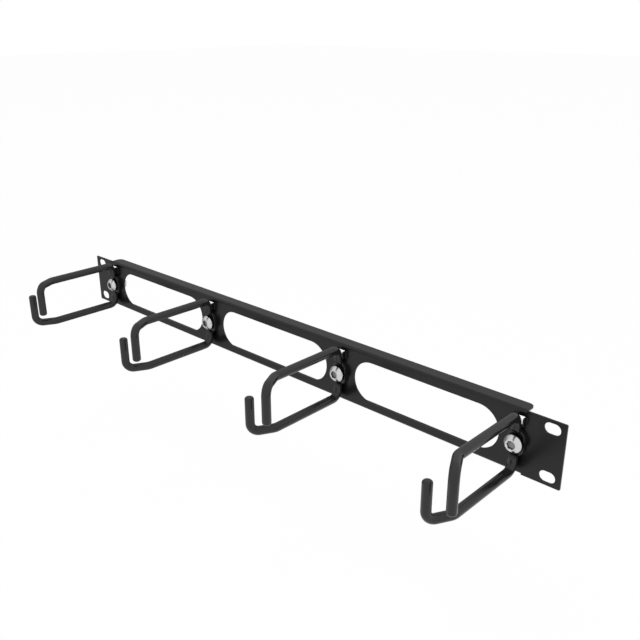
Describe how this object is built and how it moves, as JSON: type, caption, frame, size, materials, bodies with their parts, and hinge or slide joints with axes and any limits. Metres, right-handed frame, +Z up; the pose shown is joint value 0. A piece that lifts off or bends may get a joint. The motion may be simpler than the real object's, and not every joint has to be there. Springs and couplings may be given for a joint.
{
  "type": "horizontal cable manager",
  "caption": "Rack-width steel panel with slotted ears, long round-ended cut-outs and open bent-rod rings bolted along its front to carry cable bundles.",
  "frame": {"origin": "centre of the four ear slots, on the back face of the ears where they meet the rack rails", "axes": "+X along the panel to the right as seen from the front, +Y backwards into the rack, +Z up"},
  "size_m": [0.4826, 0.0928, 0.0434],
  "materials": {
    "panel_coat": "semi-gloss black powder coat",
    "rod_coat": "satin black powder coat",
    "zinc": "bright zinc plate",
    "black_steel": "black zinc plate",
    "bright_steel": "polished nickel plate"
  },
  "bodies": {
    "root": {"panel": "panel_coat", "ring_1": "rod_coat", "front_washer_1": "black_steel", "screw_1": "bright_steel", "rear_washer_1": "zinc", "nut_1": "zinc", "ring_2": "rod_coat", "front_washer_2": "black_steel", "screw_2": "bright_steel", "rear_washer_2": "zinc", "nut_2": "zinc", "ring_3": "rod_coat", "front_washer_3": "black_steel", "screw_3": "bright_steel", "rear_washer_3": "zinc", "nut_3": "zinc", "ring_4": "rod_coat", "front_washer_4": "black_steel", "screw_4": "bright_steel", "rear_washer_4": "zinc", "nut_4": "zinc"}
  },
  "joints": []
}
